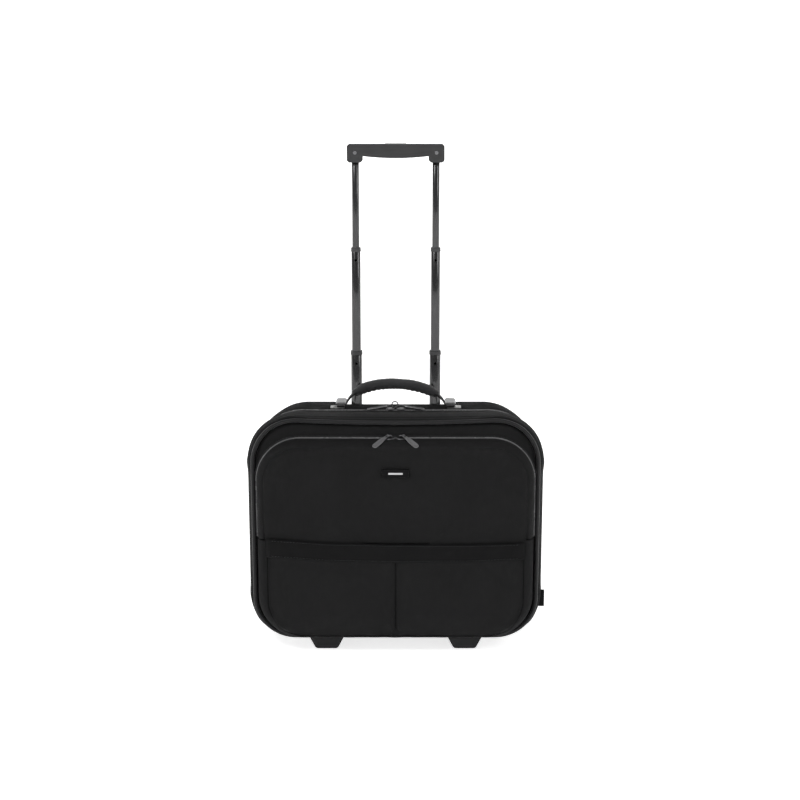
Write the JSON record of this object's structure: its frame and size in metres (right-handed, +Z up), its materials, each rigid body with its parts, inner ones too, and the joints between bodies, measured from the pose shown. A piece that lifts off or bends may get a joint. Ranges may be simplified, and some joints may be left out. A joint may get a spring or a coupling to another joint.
{
  "type": "rolling flight case",
  "caption": "Soft-sided rolling case with telescopic pull handle, padded carry handle, rear wheels, zipped front half and front pocket.",
  "frame": {"origin": "on the floor, at the centre of the case's bounding box", "axes": "+X left to right seen from the front, +Y to the back where the pull handle is, +Z up"},
  "size_m": [0.4392, 0.2101, 0.7468],
  "materials": {
    "nylon": "matt woven nylon",
    "webbing": "ribbed woven webbing",
    "piping": "satin cord",
    "zip_tape": "woven tape with moulded teeth",
    "zip_metal": "satin gunmetal",
    "plastic": "fine textured dark plastic",
    "grey_plastic": "satin grey plastic",
    "black_tube": "gloss gunmetal lacquer on aluminium",
    "board": "matt pressed board",
    "rubber": "matt",
    "steel": "satin",
    "padding": "brushed lining over foam",
    "label": "satin, blank"
  },
  "bodies": {
    "case_body": {"back_panel": "nylon", "back_piping": "piping", "rear_gusset": "nylon", "main_zip_rear": "zip_tape", "frame_board": "board", "base_tube_left": "black_tube", "base_tube_right": "black_tube", "tube_bracket": "plastic", "trolley_bezel": "grey_plastic", "tube_cover": "padding", "wheel_housing_left": "plastic", "wheel_housing_right": "plastic", "wheel_axle_left": "steel", "wheel_axle_right": "steel", "handle_anchor_left": "steel", "handle_anchor_right": "steel", "laptop_sleeve": "padding"},
    "wheel_left": {"wheel_tyre_left": "rubber", "wheel_hub_left": "grey_plastic"},
    "wheel_right": {"wheel_tyre_right": "rubber", "wheel_hub_right": "grey_plastic"},
    "front_section": {"lid_gusset": "nylon", "main_zip_front": "zip_tape", "lid_front_panel": "nylon", "front_piping": "piping", "front_foot_left": "plastic", "front_foot_right": "plastic", "pocket_lower": "nylon", "pocket_zip": "zip_tape", "slip_panel": "nylon", "hem_band": "webbing", "side_tag": "label"},
    "pocket_flap": {"pocket_flap": "nylon", "badge": "label"},
    "carry_handle": {"carry_sleeve": "webbing", "carry_strap": "webbing"},
    "trolley_stage_1": {"stage1_tube_left": "black_tube", "stage1_tube_right": "black_tube", "stage1_collar_left": "plastic", "stage1_collar_right": "plastic"},
    "trolley_stage_2": {"stage2_tube_left": "black_tube", "stage2_tube_right": "black_tube", "stage2_collar_left": "plastic", "stage2_collar_right": "plastic"},
    "trolley_stage_3": {"stage3_tube_left": "black_tube", "stage3_tube_right": "black_tube", "grip_front_shell": "plastic", "grip_back_shell": "plastic", "grip_screw_left": "steel", "grip_screw_right": "steel"},
    "release": {"release_button": "grey_plastic", "release_yoke": "steel"},
    "main_slider_left": {"main_slider_left": "zip_metal"},
    "main_puller_left": {"main_puller_left": "zip_metal"},
    "pocket_slider_left": {"pocket_slider_left": "zip_metal"},
    "pocket_puller_left": {"pocket_puller_left": "zip_metal"},
    "main_slider_right": {"main_slider_right": "zip_metal"},
    "main_puller_right": {"main_puller_right": "zip_metal"},
    "pocket_slider_right": {"pocket_slider_right": "zip_metal"},
    "pocket_puller_right": {"pocket_puller_right": "zip_metal"}
  },
  "joints": [
    {"name": "lid_hinge", "type": "hinge", "parent": "case_body", "child": "front_section", "pos_m": [0, 0.027, 0.017], "axis": [1, 0, 0], "range_deg": [0, 90]},
    {"name": "pocket_flap_hinge", "type": "hinge", "parent": "front_section", "child": "pocket_flap", "pos_m": [0, -0.097, 0.1795], "axis": [1, 0, 0], "range_deg": [0, 95]},
    {"name": "carry_handle_swing", "type": "hinge", "parent": "case_body", "child": "carry_handle", "pos_m": [0, 0.044, 0.3525], "axis": [1, 0, 0], "range_deg": [-30, 30]},
    {"name": "trolley_stage_1_slide", "type": "slide", "parent": "case_body", "child": "trolley_stage_1", "axis": [0, 0, 1], "range_m": [-0.1077, 0.117]},
    {"name": "trolley_stage_2_slide", "type": "slide", "parent": "trolley_stage_1", "child": "trolley_stage_2", "axis": [0, 0, 1], "range_m": [-0.1537, 0.07]},
    {"name": "trolley_stage_3_slide", "type": "slide", "parent": "trolley_stage_2", "child": "trolley_stage_3", "axis": [0, 0, 1], "range_m": [-0.1281, 0.093]},
    {"name": "release_button_press", "type": "slide", "parent": "trolley_stage_3", "child": "release", "axis": [0, 0, -1], "range_m": [0, 0.004], "stiffness_N_per_m": 900, "springref_m": -0.002},
    {"name": "wheel_spin_left", "type": "hinge", "parent": "case_body", "child": "wheel_left", "pos_m": [-0.17, 0.079, 0.0255], "axis": [1, 0, 0], "continuous": true},
    {"name": "wheel_spin_right", "type": "hinge", "parent": "case_body", "child": "wheel_right", "pos_m": [0.17, 0.079, 0.0255], "axis": [1, 0, 0], "continuous": true},
    {"name": "main_zip_slide_left", "type": "slide", "parent": "case_body", "child": "main_slider_left", "axis": [-1, 0, 0], "range_m": [0, 0.12]},
    {"name": "main_tab_swing_left", "type": "hinge", "parent": "main_slider_left", "child": "main_puller_left", "pos_m": [-0.0115, 0.027, 0.3534], "axis": [0, 1, 0], "range_deg": [0, 99]},
    {"name": "pocket_zip_slide_left", "type": "slide", "parent": "pocket_flap", "child": "pocket_slider_left", "axis": [-1, 0, 0], "range_m": [0, 0.11]},
    {"name": "pocket_tab_swing_left", "type": "hinge", "parent": "pocket_slider_left", "child": "pocket_puller_left", "pos_m": [-0.01225, -0.08593, 0.33309], "axis": [-0.7193, 0.6351, 0.2814], "range_deg": [0, 55]},
    {"name": "main_zip_slide_right", "type": "slide", "parent": "case_body", "child": "main_slider_right", "axis": [1, 0, 0], "range_m": [0, 0.12]},
    {"name": "main_tab_swing_right", "type": "hinge", "parent": "main_slider_right", "child": "main_puller_right", "pos_m": [0.0115, 0.027, 0.3534], "axis": [0, -1, 0], "range_deg": [0, 99]},
    {"name": "pocket_zip_slide_right", "type": "slide", "parent": "pocket_flap", "child": "pocket_slider_right", "axis": [1, 0, 0], "range_m": [0, 0.11]},
    {"name": "pocket_tab_swing_right", "type": "hinge", "parent": "pocket_slider_right", "child": "pocket_puller_right", "pos_m": [0.01225, -0.08593, 0.33309], "axis": [-0.7193, -0.6351, -0.2814], "range_deg": [0, 55]}
  ]
}
